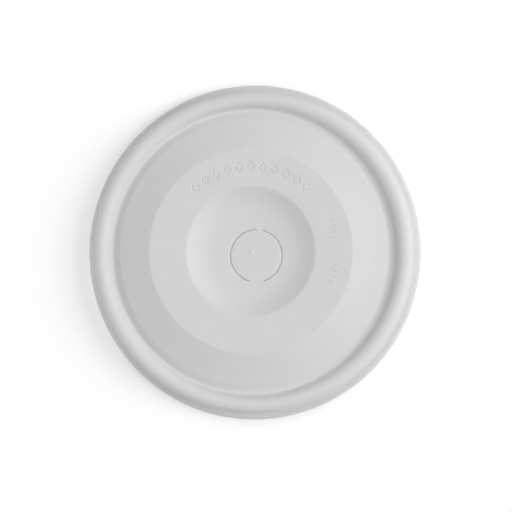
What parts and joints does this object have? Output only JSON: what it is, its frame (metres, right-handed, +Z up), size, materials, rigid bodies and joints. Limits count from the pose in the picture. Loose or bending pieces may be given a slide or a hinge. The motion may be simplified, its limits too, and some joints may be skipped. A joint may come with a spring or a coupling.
{
  "type": "straw slot cup lid",
  "caption": "Round takeaway cup lid pressed from plant fibre, with a rounded bead that grips the cup, a raised crown, a centre dish and a push-in straw flap.",
  "frame": {"origin": "on the lid's axis, in the plane of the underside of its lip, where it stands", "axes": "+Z up out of the crown along the lid's axis; -Y towards the hinge of the straw flap; +X to the right with the hinge nearest"},
  "size_m": [0.0944, 0.0944, 0.0083],
  "materials": {
    "pressed_fibre": "matte"
  },
  "bodies": {
    "root": {"lid": "pressed_fibre"}
  },
  "joints": []
}
